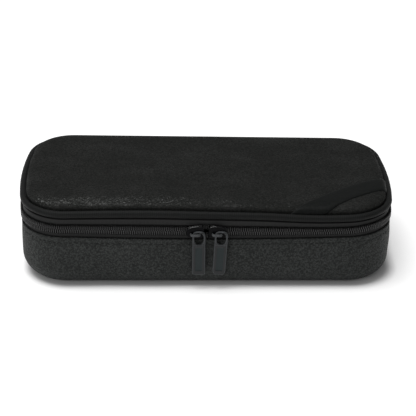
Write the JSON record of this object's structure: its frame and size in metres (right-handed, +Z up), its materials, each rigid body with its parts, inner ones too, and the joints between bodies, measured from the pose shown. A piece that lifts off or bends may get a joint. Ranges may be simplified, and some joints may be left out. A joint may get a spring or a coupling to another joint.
{
  "type": "pen case",
  "caption": "Soft box pen case with a crowned, piped lid on a fabric hinge and a zip round three sides, closed by two sliders with hanging pulls.",
  "frame": {"origin": "centre of the underside, on the surface that the case stands on", "axes": "+X to the right, -Y to the front where the two sliders meet, +Z up"},
  "size_m": [0.229, 0.1164, 0.0553],
  "materials": {
    "speckled_fabric": "matt dark grey melange fabric",
    "coated_fabric": "dark grey fabric with a slightly glossy crinkle",
    "piping": "satin covered cord",
    "zip_tape": "black woven tape",
    "zip_coil": "black nylon",
    "strap": "smooth satin black synthetic leather",
    "slider_metal": "black enamel",
    "pull_metal": "satin gunmetal enamel",
    "board": "plain board",
    "foam": "closed foam",
    "lining": "plain dark grey lining",
    "pocket_mesh": "fine black mesh",
    "elastic": "ribbed black elastic"
  },
  "bodies": {
    "base": {"base_side_panel": "speckled_fabric", "base_bottom_panel": "speckled_fabric", "bottom_board": "board", "base_wall_foam": "foam", "base_lining": "lining", "lower_zip_tape": "zip_tape", "lower_zip_coil": "zip_coil", "left_zip_stop": "zip_coil", "right_zip_stop": "zip_coil", "hinge_panel": "speckled_fabric"},
    "lid": {"lid_top_panel": "coated_fabric", "lid_piping": "piping", "lid_foam": "foam", "lid_lining": "lining", "lid_seam_binding": "zip_tape", "upper_zip_tape": "zip_tape", "upper_zip_coil": "zip_coil", "corner_strap": "strap", "lid_pocket": "pocket_mesh", "pocket_binding": "elastic"},
    "left_slider": {"left_slider_body": "slider_metal", "left_slider_bridge": "slider_metal"},
    "right_slider": {"right_slider_body": "slider_metal", "right_slider_bridge": "slider_metal"},
    "left_pull": {"left_pull_tab": "pull_metal"},
    "right_pull": {"right_pull_tab": "pull_metal"}
  },
  "joints": [
    {"name": "lid_hinge", "type": "hinge", "parent": "base", "child": "lid", "pos_m": [0, 0.0563, 0.0382], "axis": [-1, 0, 0], "range_deg": [0, 180], "deforming": ["hinge_panel"]},
    {"name": "left_slider_slide", "type": "slide", "parent": "base", "child": "left_slider", "axis": [-1, 0, 0], "range_m": [0, 0.068], "deforming": ["lower_zip_coil", "upper_zip_coil"]},
    {"name": "right_slider_slide", "type": "slide", "parent": "base", "child": "right_slider", "axis": [1, 0, 0], "range_m": [0, 0.068], "deforming": ["lower_zip_coil", "upper_zip_coil"]},
    {"name": "left_pull_swing", "type": "hinge", "parent": "left_slider", "child": "left_pull", "pos_m": [-0.0041, -0.0584, 0.0375], "axis": [0, 1, 0], "range_deg": [-3, 20]},
    {"name": "right_pull_swing", "type": "hinge", "parent": "right_slider", "child": "right_pull", "pos_m": [0.0087, -0.0584, 0.0375], "axis": [0, -1, 0], "range_deg": [-3, 90]}
  ]
}
